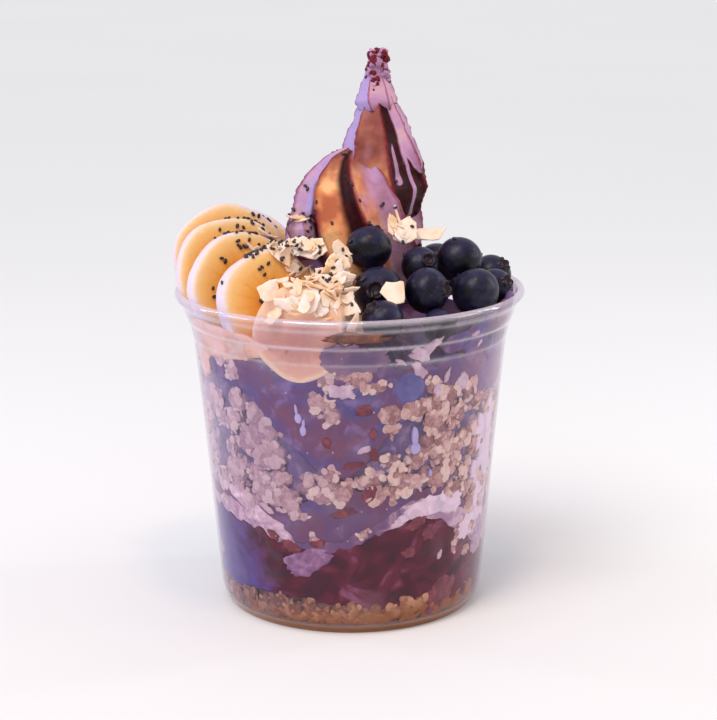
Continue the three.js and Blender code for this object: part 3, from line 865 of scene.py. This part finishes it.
WALL_FLAKES = [
    (29.5, 96.2, 8, 3, 38), (25.6, 93.6, 7.4, 4, -10), (25, 88.6, 3.4, 7, 35), (18, 91.6, 4, 1.6, -20),
    (45, 82.6, 5, 5.2, -18), (33, 81, 2.6, 5, 12), (37, 85.4, 1.7, 5, -20), (-3, 82.8, 10, 5, -8),
    (48, 98, 4, 2.4, 20), (52, 94, 3, 1.6, 40), (5, 63.5, 5, 2, 25), (39, 24.2, 1.4, 3.4, -20),
    (60, 72, 2, 3, 0), (22, 52, 2, 1.4, 0)]


def make_wall_masses():
    random = np.random.default_rng(8)
    specks = [(random.uniform(-65, 65), random.uniform(28, 96), 0.5, 0.5) for _ in range(40)]
    milk = milk_mass()
    # name, masses, finish, slot, how far into the wall they reach, how torn their edges are
    groups = [("acai_film", FILM_MASSES, thin_film(), "acai", 0.55, 0.45),
              ("amber_shadow", AMBER_SHADOW_LINE, amber_shadow(), "banana", 0.55, 0.35),
              ("side_bloom", SIDE_BLOOM, milk_streaked(), "milk", 0.45, 0.35),
              ("acai_side", SIDE_MASSES, acai_filling(), "acai", 0.5, 0.3),
              ("milk_masses", MILK_MASSES, milk, "milk", 0.4, 0.45),
              ("banana_pulp", PEACH_MASSES, peach_pulp(), "banana", 0.43, 0.25),
              ("berry_bits", RED_BITS, red_bits(), "berry_puree", 0.5, 0.35),
              ("lilac_pieces", LILAC_LUMPS, lilac_lump(), "acai", 0.5, 0.45),
              ("milk_drops", WHITE_DROPS, white_drops(), "milk", 0.62, 0.06),
              ("wall_flakes", WALL_FLAKES, wet_flake(), "coconut", 0.6, 0.5),
              ("pale_specks", specks, milk, "milk", 0.7, 0.1)]
    for name, places, finish, slot, reach, torn in groups:
        parts = [smear(*place, seed=random.integers(1000), reach=reach, torn=torn,
                       sides=48 if place[2] > 1 else 10) for place in places]
        add_joined(name, parts, finish, slot)


# ---- Bananas ----
# turn to the right, lean back, spin of the core, for each slice
BANANA_LAY = [(8, 10, 20), (17, 12, 70), (27, 14, 130), (32, 16, 40), (-18, 8, 95), (-2, 6, 10)]
BANANA_HALF = 3.5    # half of a slice's thickness
PRESSED_SLICE = 4    # index of the slice pressed against the wall at the front
# share of the radius and of the half thickness, round the edge from one face to the other
BANANA_EDGE = [(0.03, 0.86), (0.2, 0.86), (0.35, 0.9), (0.5, 0.95), (0.65, 0.98), (0.8, 1),
               (0.92, 0.97), (0.975, 0.86), (0.997, 0.6), (1, 0.2)]


def banana_slice(radius, seed):
    """Points, faces and marks of one slice lying flat, its faces up and down."""
    sides = 72
    turn = full_turn(sides)
    outline = 1 + 0.018 * np.cos(5 * turn + seed) + 0.012 * np.cos(3 * turn + 2 * seed)
    edge = [(share, -height) for share, height in BANANA_EDGE] + BANANA_EDGE[::-1]
    share, height = rounded(edge, 1).T
    radii = radius * share[:, None] * outline
    rings = np.stack([radii * np.cos(turn), radii * np.sin(turn),
                      BANANA_HALF * height[:, None] + 0 * turn], -1)
    out = np.broadcast_to(share[:, None], radii.shape)
    petals = 0.5 + 0.5 * np.cos(3 * turn)
    core = np.clip(1.25 - share[:, None] / (0.2 + 0.24 * petals), 0, 1)
    spokes = np.clip(np.cos(18 * turn) * 2 - 1, 0, 1) * np.clip(
        1 - np.abs(share[:, None] - 0.55) / 0.3, 0, 1)
    face = np.abs(height[:, None]) > 0.8
    rings[..., 2] -= np.sign(height[:, None]) * face * (0.3 * core + 0.12 * spokes)
    points, faces = closed_shell(rings)
    points += 0.12 * bumps(points, 3, seed)[:, None]
    marks = {"out": out, "core": core * face, "spokes": spokes * face}
    ends = {"out": 0, "core": 1, "spokes": 0}
    marks = {name: np.append(values.ravel(), [ends[name]] * 2) for name, values in marks.items()}
    return points, faces, marks


def make_bananas():
    fresh = banana_flesh("banana_flesh")
    pressed = banana_flesh("banana_pressed", "#c98c78", "#dba389", "#e3b09a", "#dfc0c0",
                           "#f8cba6")
    for index, (turn, lean, spin) in enumerate(BANANA_LAY):
        node = f"banana_{index + 1}"
        low, high = node_box(node)
        back = math.radians(lean)
        radius = (high[2] - low[2]) / 2 / math.cos(back) - BANANA_HALF * math.sin(back)
        points, faces, marks = banana_slice(radius, index)
        points = placed(points, facing(turn, lean, spin), (low + high) / 2)
        inside = points[:, 2] < HEIGHT - 0.5
        points[inside] = press_to_wall(points[inside], 0.6, 0.45)
        finish = pressed if index == PRESSED_SLICE else fresh
        add_piece(f"banana_slice_{index + 1}", points, faces, finish, "banana", [node], marks,
                  rest=True)


# ---- Blueberries ----
# tilt of the crown from straight up, and its bearing, for each berry
BERRY_CROWN = [(35, 150), (60, 30), (100, 200), (75, -10), (80, 62), (70, -120), (50, 55), (62, 50),
               (40, -60), (70, 80), (60, 170), (30, 120), (75, 200), (50, 150), (60, 90), (80, 180)]
SUNK_BELOW = 85   # a berry whose foot is lower than this is sunk in the filling
SUNK_SHIFT = 2.2  # how far outwards it is moved, to lie against the wall
BERRIES = []      # middle and radius of each berry


def blueberry(seed):
    """A berry of radius 1, its crown up: a five-pointed collar round a small crater."""
    sides = 60
    turn = full_turn(sides)
    tilt = np.linspace(-math.pi / 2, math.pi / 2 - 0.42, 26)[1:]
    outline = [(math.cos(at), 0.94 * math.sin(at)) for at in tilt]
    outline += [(0.36, 0.9), (0.31, 0.93), (0.26, 0.9), (0.22, 0.82), (0.12, 0.78), (0.02, 0.77)]
    rings = turned(outline, sides)
    share, height = np.array(outline).T
    collar = np.exp(-((share - 0.32) / 0.06) ** 2) * (height > 0.7)
    points_up = np.abs(np.cos(2.5 * turn + seed))
    rings[..., 2] += 0.1 * collar[:, None] * points_up
    rings[..., :2] *= 1 + 0.12 * (collar[:, None] * points_up)[..., None]
    crown = np.clip((0.42 - share) / 0.1, 0, 1) * (height > 0.7)
    points, faces = closed_shell(rings)
    points *= 1 + 0.025 * bumps(points, 0.9, seed)[:, None]
    marks = {"crown": np.append(np.repeat(crown, sides), [0, 1])}
    return points, faces, marks


def make_blueberries():
    dusty = blueberry_skin()
    sunk = sunk_berry()
    for index, (tilt, bearing) in enumerate(BERRY_CROWN):
        node = f"blueberry_{index + 1}"
        low, high = node_box(node)
        radius = (high - low).max() / 2
        points, faces, marks = blueberry(index)
        rotation = spun(bearing, "Z") @ spun(tilt, "X")
        middle = (low + high) / 2
        BERRIES.append((Vector(middle), radius))
        finish = dusty
        if low[2] < SUNK_BELOW:
            finish = sunk
            middle[:2] *= 1 + SUNK_SHIFT / np.hypot(*middle[:2])
        points = placed(points * radius, rotation, middle)
        inside = points[:, 2] < HEIGHT - 1
        points[inside] = press_to_wall(points[inside], 0.8, 0.5)
        add_piece(f"blueberry_whole_{index + 1}", points, faces, finish, "blueberry", [node],
                  marks, rest=True)


# ---- Swirl ----
TIP_Z = node_box("acai_swirl")[1][2]

# Each panel between two ridges: milk on its two halves, a painted sheen (a painted reflection of the
# warm lamp) on the same halves, and the share of the height down to which its milk has run
FOOT_PANELS = [(0.7, 0.5, 0.1, 0, 0), (0.6, 0.3, 0, 0, 0), (0.5, 0.5, 0, 0, 0.2),
               (0.6, 0.6, 0, 0.1, 0), (0.8, 0.5, 0, 0.3, 0), (0.75, 0.4, 0, 0.2, 0),
               (0.1, 0, 1, 0, 0), (0.42, 0.7, 1, 0.5, 0), (0.35, 0.7, 0.4, 0, 0.3)]
DROP_PANELS = [(0.7, 0.4, 0, 0, 0.42), (0.5, 0.6, 0, 0, 0.5), (0.8, 0.5, 0, 0, 0.3),
               (1, 0.9, 0, 0, 0.1), (0.3, 0.15, 0.8, 1, 0), (0, 1, 0, 0, 0.42),
               (0.8, 0.9, 0, 0, 0.44)]
CAP_PANELS = [(1, 0.8, 0, 0, 0), (0.8, 1, 0.2, 0, 0), (1, 0.7, 0, 0, 0.1)] * 2
CURL_PANELS = [(0.9, 0.6, 0, 0.2, 0), (0.5, 0.8, 0.2, 0, 0), (0.8, 0.4, 0, 0, 0.1)] * 2


def panel_coat(panels, phase, share, rings, ways, seed, drips):
    """Milk and painted sheen, a painted reflection of warm light, at each point of a drop, from its
    panel and the drips that run down it.
    """
    table = np.array(panels)[phase.astype(int) % len(panels)]
    across = np.clip((phase % 1 - 0.5) * 3 + 0.5, 0, 1)
    coat = table[..., 0] * (1 - across) + table[..., 1] * across
    sheen = table[..., 2] * (1 - across) + table[..., 3] * across
    run = table[..., 4] * (1 + 0.4 * bumps(ways * 0.7, 1.4, seed + 3))
    coat = coat * np.clip((share - run) / 0.04 + 0.5, 0, 1)
    coat = coat + 0.22 * bumps(rings * (1, 1, 0.35), 5, 5)
    for at, low in drips:
        width = 0.06 + 0.05 * np.exp(-((share - low - 0.04) / 0.035) ** 2)
        drip = np.exp(-((phase - at) / width) ** 2) * np.clip((share - low) / 0.03, 0, 1)
        coat = np.maximum(coat, 1.2 * drip * np.clip((0.6 - share) / 0.1, 0, 1))
    return coat, sheen


def pleated_drop(foot, tip, stations, panels, depth, offset, twist, seed, rows=110, sides=180,
                 drips=()):
    """A drop of soft acai with twisted pleats. Stations are (share of height, radius), and drips
    (place among the panels, share of the height down to which they have run)."""
    share = np.linspace(0, 0.995, rows)
    places, sizes = zip(*stations)
    radius = np.interp(share, places, sizes)
    for _ in range(4):
        radius[1:-1] = (radius[:-2] + 2 * radius[1:-1] + radius[2:]) / 4
    turn = full_turn(sides)
    swing = turn + math.radians(offset) + twist * share[:, None]
    ways = np.stack([np.cos(turn) * 9, np.sin(turn) * 9, 0 * turn], -1)
    wander = bumps(ways[None] + share[:, None, None] * (0, 0, 30), 9, seed) * 0.14
    phase = (len(panels) * turn / (2 * math.pi) + wander) % len(panels)
    crest = (np.abs(phase % 1 - 0.5) * 2) ** 2.6
    size = radius[:, None] * (1 + depth * (crest * 1.4 - 0.4))
    middle = np.asarray(foot) + (np.asarray(tip) - np.asarray(foot)) * share[:, None]
    out = np.stack([np.cos(swing), np.sin(swing), 0 * swing], -1)
    rings = middle[:, None] + size[..., None] * out
    crumb = bumps(rings, 1.3, seed) * 0.6 + bumps(rings, 2.6, seed + 1) * 0.5
    crumb *= 0.1 + 0.75 * crest ** 2.5
    fold = bumps(rings, 6, seed + 2) * 0.7
    rings = rings + ((crumb + fold) * np.minimum(radius / 7, 1)[:, None])[..., None] * out
    coat, sheen = panel_coat(panels, phase, share[:, None], rings, ways, seed, drips)
    points, faces = closed_shell(rings)
    return points, faces, {"ridge": np.append(crest.ravel(), [0, 0.5]),
                           "coat": np.append(coat.ravel(), [0, 0]),
                           "sheen": np.append(sheen.ravel(), [0, 0])}


def make_swirl():
    random = np.random.default_rng(3)
    foot = pleated_drop((1, 4, MOUND_Z - 1), (2.5, 3, 153),
                        [(0, 19), (0.25, 20.5), (0.5, 20), (0.68, 18), (0.82, 14), (0.92, 9.5),
                         (1, 0.5)], FOOT_PANELS, 0.17, 31, -1.0, 1)
    drop = pleated_drop((11.5, 5, 127.5), (9.8, 5, TIP_Z - 9),
                        [(0, 7), (0.06, 11.5), (0.25, 14.9), (0.45, 12.6), (0.64, 9.4), (0.8, 6),
                         (0.94, 3), (1, 0.6)], DROP_PANELS, 0.12, 31, -0.35, 2, rows=130,
                        drips=[(5.22, 0.27), (5.6, 0.01), (6.15, 0.26)])
    cap = pleated_drop((9.3, 5, TIP_Z - 19.5), (9.4, 5, TIP_Z - 1.5),
                       [(0, 5.6), (0.15, 6.4), (0.4, 5), (0.6, 3.6), (0.8, 3), (0.93, 2.4),
                        (1, 0.6)], CAP_PANELS, 0.12, 10, -0.4, 4, rows=60, sides=96)
    curl = pleated_drop((-13.4, -6, 117), (-15.4, -9.5, 132),
                        [(0, 4.6), (0.35, 6.4), (0.7, 5.4), (0.9, 3.2), (1, 0.4)], CURL_PANELS,
                        0.16, 0, -0.6, 3, rows=50, sides=90)
    parts = [foot, drop, cap, curl]
    for _ in range(70):  # crumbs on the tip
        share = random.uniform(0, 1) ** 1.8
        angle = random.uniform(0, 2 * math.pi)
        reach = 2.4 + 2.2 * share
        middle = (9.6 + reach * math.cos(angle), 5 + reach * math.sin(angle), TIP_Z - 1 - 14 * share)
        points, faces = rough_lump(middle, random.uniform(0.6, 1.7 - share), random, 0.5)
        milky = random.uniform() < 0.55
        parts.append((points, faces, {"ridge": 0 if milky else 0.9, "coat": 1.2 if milky else 0,
                                      "sheen": 0}))
    add_joined("swirl", parts, swirl_skin(), "acai_swirl", ["acai_swirl"], rest=True)


# ---- Coconut ----
# turn to the right, lean back, spin, length and width of each large chip
CHIP_LAY = [(6, 38, 24, 11.5, 8), (12, 62, 8, 12, 7), (24, 28, 52, 13, 8.5), (-8, 42, -12, 12.5, 9),
            (4, 36, 6, 11, 8), (-12, 46, -20, 12.5, 9.5), (26, 30, 40, 9, 7), (10, 40, 30, 9.5, 8.5),
            (10, 60, 4, 13.5, 8), (-14, 50, 30, 10, 7), (30, 82, 20, 13, 8), (-40, 80, 60, 12, 8.5)]


def coconut_chip(length, width, cup, random, thick=0.55):
    """A thin broken chip, cupped along its length, with straight broken edges."""
    corners = random.integers(5, 8)
    turn = (np.arange(corners) + random.uniform(-0.3, 0.3, corners)) * 2 * math.pi / corners
    reach = random.uniform(0.8, 1.15, corners)
    corner = np.stack([reach * np.cos(turn), reach * np.sin(turn)], -1)
    steps = np.linspace(0, 1, 5, endpoint=False)[:, None]
    outline = np.concatenate([a + (b - a) * steps for a, b in zip(corner, np.roll(corner, -1, 0))])
    outline += random.uniform(-0.04, 0.04, outline.shape)
    rows = []
    for share, side in ((0.05, -1), (0.5, -1), (0.9, -1), (1, -0.5), (1, 0.5), (0.9, 1), (0.5, 1),
                        (0.05, 1)):
        u, v = (share * outline).T
        bend = cup * (u ** 2 + 0.3 * u * v - 0.3)
        rows.append(np.stack([u * length / 2, v * width / 2, side * thick / 2 + bend], -1))
    points, faces = closed_shell(np.array(rows))
    return points + 0.12 * bumps(points, 2, random.integers(99))[:, None], faces


def make_large_chips():
    random = np.random.default_rng(5)
    finish = coconut()
    for index, (turn, lean, spin, length, width) in enumerate(CHIP_LAY):
        node = f"coconut_chip_{index + 1}"
        low, high = node_box(node)
        points, faces = coconut_chip(length, width, 1.6, random)
        points = placed(points, facing(turn, lean, spin), (low + high) / 2)
        add_piece(f"coconut_flake_{index + 1}", points, faces, finish, "coconut", [node],
                  {"tint": np.full(len(points), random.uniform(0, 0.5))}, rest=True)


def make_hanging_shred():
    """The long shred that hangs from the heap, inside the rim at the front."""
    random = np.random.default_rng(4)
    points, faces = coconut_chip(13, 2.6, 1, random)
    middle = on_wall(0.5, 103, -1.6)
    points = placed(points, facing(4, -6, 72), middle)
    add_piece("hanging_shred", press_to_wall(points, 0.8, -0.2), faces, coconut(), "coconut",
              marks={"tint": np.full(len(points), 0.5)})


def resting_pieces():
    """The pieces that small toppings lie on, ready for finding where a line meets them."""
    points, faces, _ = join([(points, faces, {}) for points, faces in GROUND])
    return BVHTree.FromPolygons(points.tolist(), faces)


PATCH_Z = 112  # height at which the patches of small toppings are laid out


def slips_off(spot):
    """Whether a flake would slide from a spot: off a berry, or down between filling and wall."""
    if spot.z < HEIGHT - 2 and np.hypot(spot.x, spot.y) > 42:
        return True
    return any((spot - middle).length < radius + 2.5 for middle, radius in BERRIES)


def at_opening(spot):
    """Whether a spot lies at the back of the cup, where the filling's top stays open."""
    return abs(spot.x) < 13 and spot.y > 38


def scatter(ground, patch, count, shapes, sizes, tilt, random, way, lift=0.35, slides=False):
    """Shapes at rest inside a patch (middle x, y, half widths), fallen along a way. Tilt is how
    unevenly they lie, and lift how far they stand off, as a share of their size."""
    x, y, wide, deep = patch
    way = Vector(way).normalized()
    parts = []
    for _ in range(count):
        angle, share = random.uniform(0, 2 * math.pi), random.uniform(0, 1) ** 0.5
        spot = Vector((x + wide * share * math.cos(angle), y + deep * share * math.sin(angle),
                       PATCH_Z))
        hit, normal, _, _ = ground.ray_cast(spot - way * 90, way)
        if hit is None or at_opening(hit) or (slides and slips_off(hit)):
            continue
        if normal.dot(way) > 0:
            normal.negate()
        lie = normal + tilt * Vector(random.normal(size=3))
        spin = Matrix.Rotation(random.uniform(0, 2 * math.pi), 3, "Z")
        rotation = lie.to_track_quat("Z", "Y").to_matrix() @ spin
        points, faces = shapes[random.integers(len(shapes))]
        size = random.uniform(*sizes)
        fallen = placed(points * size, rotation, hit + normal * lift * size)
        inside = fallen[:, 2] < HEIGHT
        fallen[inside] = press_to_wall(fallen[inside], 0.5, -0.1)
        parts.append((fallen, faces, {"tint": random.uniform(0, 1)}))
    return parts


FALLS = 3  # the heap is built up in this many
# patches of small flakes: middle x, y, half widths, how many, and the way they fell
FLAKE_PATCHES = [((-8, -33, 12, 13), 69, (0, 0, -1)), ((-12, -44, 11, 5), 24, (0, 0, -1)),
                 ((-15, -50, 11, 5), 27, (0, 0.7, -1)), ((-20, -20, 9, 10), 27, (0, 0, -1)),
                 ((-22, -14, 10, 14), 18, (0, 0.4, -1)), ((14.5, -18, 3, 3.5), 12, (0, 0, -1)),
                 ((10, -36, 16, 8), 24, (0, 0, -1)), ((32, -22, 14, 16), 24, (0, 0, -1)),
                 ((0, 32, 30, 9), 60, (0, 0, -1))]


def make_heap():
    """The heap of small flakes between the slices and the berries, built up in a few falls."""
    random = np.random.default_rng(12)
    finish = coconut()
    points, faces = ball(24, 40)
    points = points * (15, 15, 8) * (1 + 0.12 * bumps(points, 0.4, 5)[:, None])
    points = press_to_wall(points + (-8, -31, 99.5), 1.6, -0.5)
    add_piece("heap_middle", points, faces, finish, "coconut",
              marks={"tint": np.full(len(points), 0.8)}, rest=True)
    shapes = [coconut_chip(random.uniform(0.8, 1.3), random.uniform(0.45, 0.8),
                           random.uniform(0.05, 0.2), random, 0.09) for _ in range(10)]
    shapes += [coconut_chip(1.4, 0.2, 0.1, random, 0.1) for _ in range(2)]
    parts = []
    for _ in range(FALLS):
        ground = resting_pieces()
        fallen = []
        for patch, count, way in FLAKE_PATCHES:
            fallen += scatter(ground, patch, count // FALLS, shapes, (4, 8.5), 0.22, random, way,
                              lift=0.08, slides=True)
        GROUND.extend((points, faces) for points, faces, _ in fallen)
        parts += fallen
    add_joined("small_flakes", parts, finish, "coconut")


# patches of chia seeds: middle x, y, half widths, how many, and the way they fell
CHIA_PATCHES = [((-28, -6, 16, 22), 110, (0, 0.15, -1)), ((-24, -20, 22, 18), 26, (0, 0.9, -1)),
                ((-25, -10, 13, 18), 48, (0, 0.5, -1)), ((-5, -34, 14, 14), 34, (0, 0.2, -1)),
                ((0, 0, 18, 14), 8, (0, 0.4, -1)), ((4, 0, 22, 50), 8, (0, 1, -0.4)),
                ((20, -24, 26, 18), 4, (0, 0, -1)), ((0, 24, 34, 16), 50, (0, 0, -1))]


def make_chia():
    random = np.random.default_rng(31)
    points, faces = ball(6, 10)
    seeds = [(points * (0.9, 0.58, 0.45), faces)]
    ground = resting_pieces()
    parts = []
    for patch, count, way in CHIA_PATCHES:
        parts += scatter(ground, patch, count, seeds, (0.8, 1.05), 0.2, random, way)
    add_joined("chia", parts, chia_seed(), "chia")


# ---- Stage ----
LIGHT_TARGET = Vector((0, 0, 0.11))


def make_stage():
    f = Finish("studio_floor")
    colour = f.blend(f.grain(400, 2.0), "#eaeaea", "#eeeeee")
    finish = f.skin(colour, 0.9, Specular_IOR_Level=0.0)
    mesh = bpy.data.meshes.new("studio_floor")
    reach = 20  # metres
    mesh.from_pydata([(-reach, -reach, 0), (reach, -reach, 0), (reach, reach, 0), (-reach, reach, 0)],
                     [], [(0, 1, 2, 3)])
    mesh.materials.append(finish)
    floor = bpy.data.objects.new("studio_floor", mesh)
    bpy.context.scene.collection.objects.link(floor)


def add_light(name, kind, power, colour, where, **extra):
    """A light, in metres, that points at the middle of the cup."""
    data = bpy.data.lights.new(name, kind)
    data.energy = power
    data.color = colour
    for setting, value in extra.items():
        setattr(data, setting, value)
    lamp = bpy.data.objects.new(name, data)
    lamp.location = where
    lamp.rotation_euler = (LIGHT_TARGET - Vector(where)).to_track_quat("-Z", "Y").to_euler()
    bpy.context.scene.collection.objects.link(lamp)


def make_lights():
    world = bpy.data.worlds.new("soft_room")
    world.use_nodes = True
    backing = world.node_tree.nodes["Background"]
    backing.inputs["Color"].default_value = (0.96, 0.96, 1, 1)
    backing.inputs["Strength"].default_value = 0.68
    bpy.context.scene.world = world
    add_light("key", "SUN", 1.22, (1, 0.97, 0.95), (-0.6, -0.9, 1.5), angle=math.radians(30))
    add_light("warm_top", "AREA", 0.36, (1, 0.6, 0.3), (0.02, -0.16, 0.55), size=0.06)
    add_light("cool_side", "AREA", 0.6, (0.6, 0.6, 1), (-0.6, -0.15, 0.3), size=0.22)
    add_light("far_side", "AREA", 0.4, (1, 0.8, 0.85), (0.6, -0.1, 0.3), size=0.22)
    add_light("left_glint", "AREA", 0.4, (0.9, 0.95, 1), (-0.56, 0.16, 0.33), shape="RECTANGLE",
              size=0.05, size_y=0.4)
    add_light("right_glint", "AREA", 0.5, (0.8, 0.9, 1), (0.56, 0.16, 0.33), shape="RECTANGLE",
              size=0.06, size_y=0.4)
    bpy.context.scene.view_settings.view_transform = "Standard"


def make_camera():
    """Looks down on the cup from the front, with the long side of the picture on the lens."""
    data = bpy.data.cameras.new("camera")
    data.sensor_width = 36
    data.lens = 99.96
    data.shift_x, data.shift_y = 0.0118, -0.0115
    camera = bpy.data.objects.new("camera", data)
    pitch, roll = math.radians(13.25), -0.0069
    camera.matrix_world = (Matrix.Translation((0, -0.65, 0.2368))
                           @ Matrix.Rotation(math.pi / 2 - pitch, 4, "X")
                           @ Matrix.Rotation(roll, 4, "Z"))
    bpy.context.scene.collection.objects.link(camera)
    bpy.context.scene.camera = camera


make_camera()
make_lights()
make_stage()
make_cup()
make_layers()
make_granola()
make_bananas()
make_blueberries()
make_swirl()
make_large_chips()
make_wall_masses()
make_hanging_shred()
make_heap()
make_chia()
